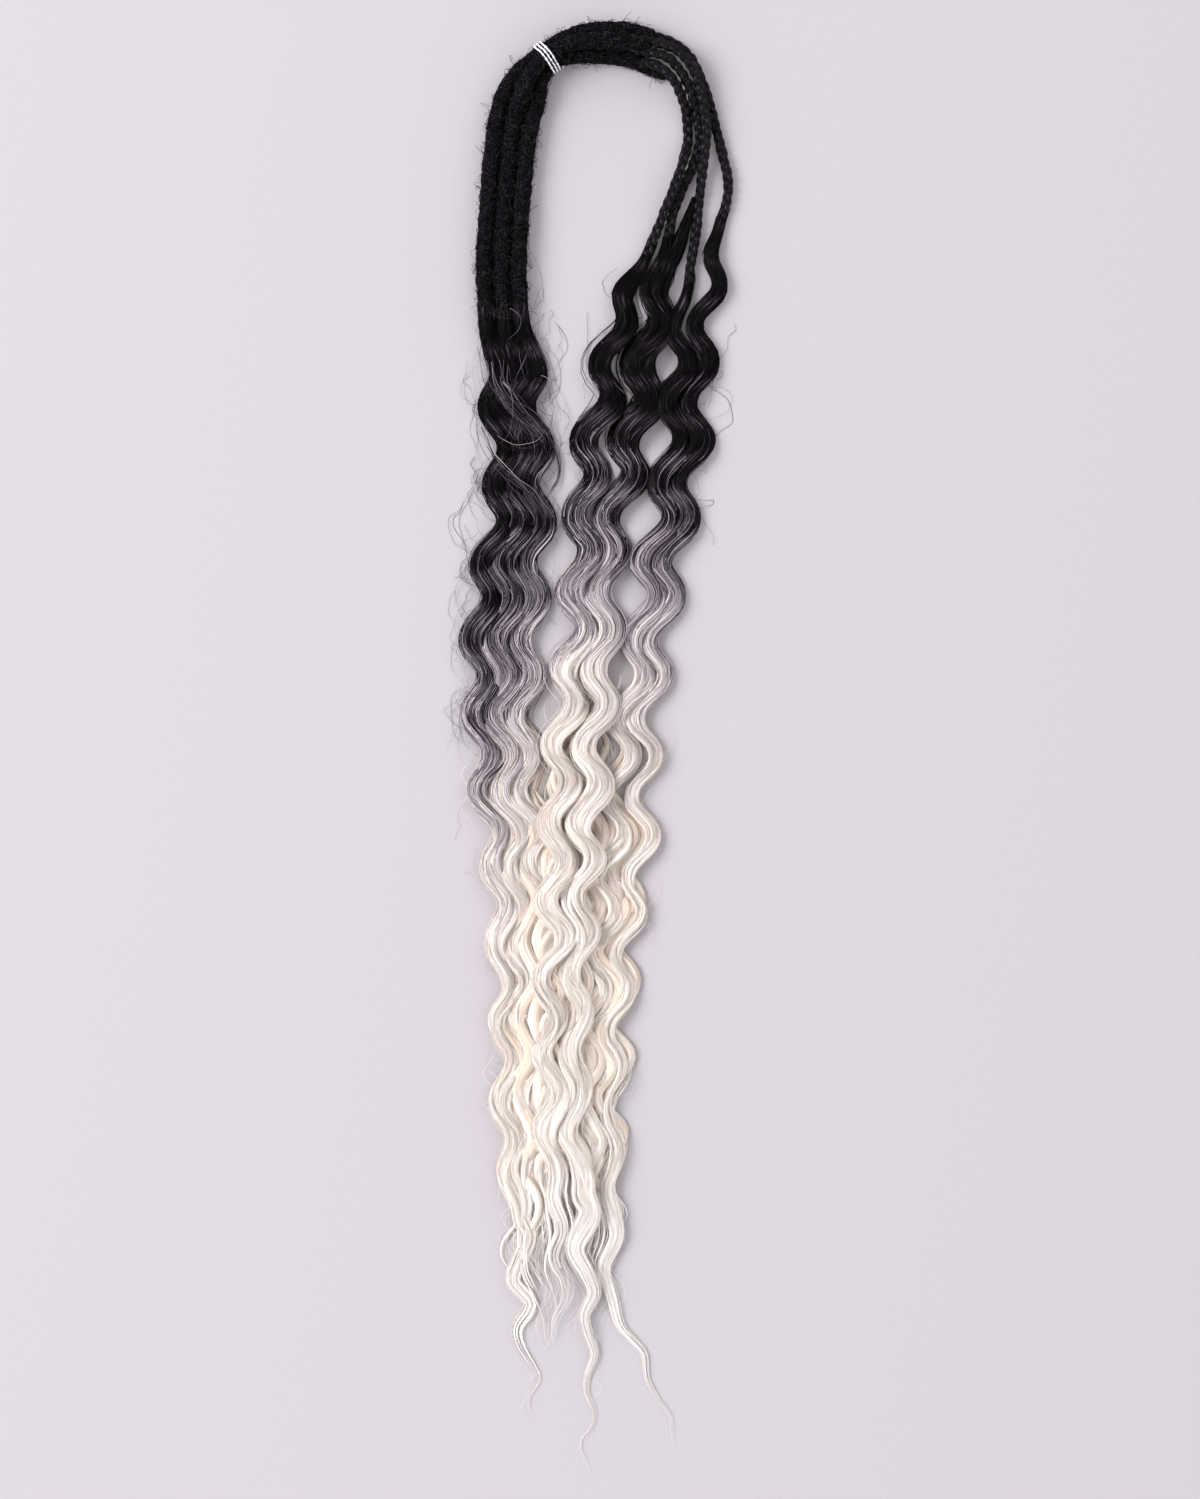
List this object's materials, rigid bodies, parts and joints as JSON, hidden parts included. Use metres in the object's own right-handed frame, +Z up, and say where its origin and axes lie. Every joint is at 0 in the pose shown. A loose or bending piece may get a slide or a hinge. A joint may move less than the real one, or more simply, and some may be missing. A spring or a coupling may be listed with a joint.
{
  "type": "braided hair extension",
  "caption": "Folded hank of felted dreads and thin braids, tied with thread and ending in loose crimped locks that fade from black to cream, for plaiting into hair.",
  "frame": {"origin": "middle of the bottom of the hank's box, on the surface it lies on", "axes": "+Y along the hank towards the fold, +X towards the braided side, +Z up off the surface"},
  "size_m": [0.1282, 0.6824, 0.0173],
  "materials": {
    "felted_hair": "matt felted synthetic hair, near black",
    "braided_hair": "glossy plaited synthetic hair, near black",
    "fading_hair": "glossy crimped synthetic hair that fades from black through grey to cream",
    "tie_thread": "white wound thread"
  },
  "bodies": {
    "root": {"dread_outer": "felted_hair", "dread_middle": "felted_hair", "dread_inner": "felted_hair", "braid_inner": "braided_hair", "braid_second": "braided_hair", "braid_third": "braided_hair", "braid_outer": "braided_hair", "lock_dread_outer": "fading_hair", "lock_dread_middle": "fading_hair", "lock_dread_inner": "fading_hair", "lock_braid_inner": "fading_hair", "lock_braid_second": "fading_hair", "lock_braid_third": "fading_hair", "lock_braid_outer": "fading_hair", "tie_thread": "tie_thread"}
  },
  "joints": []
}
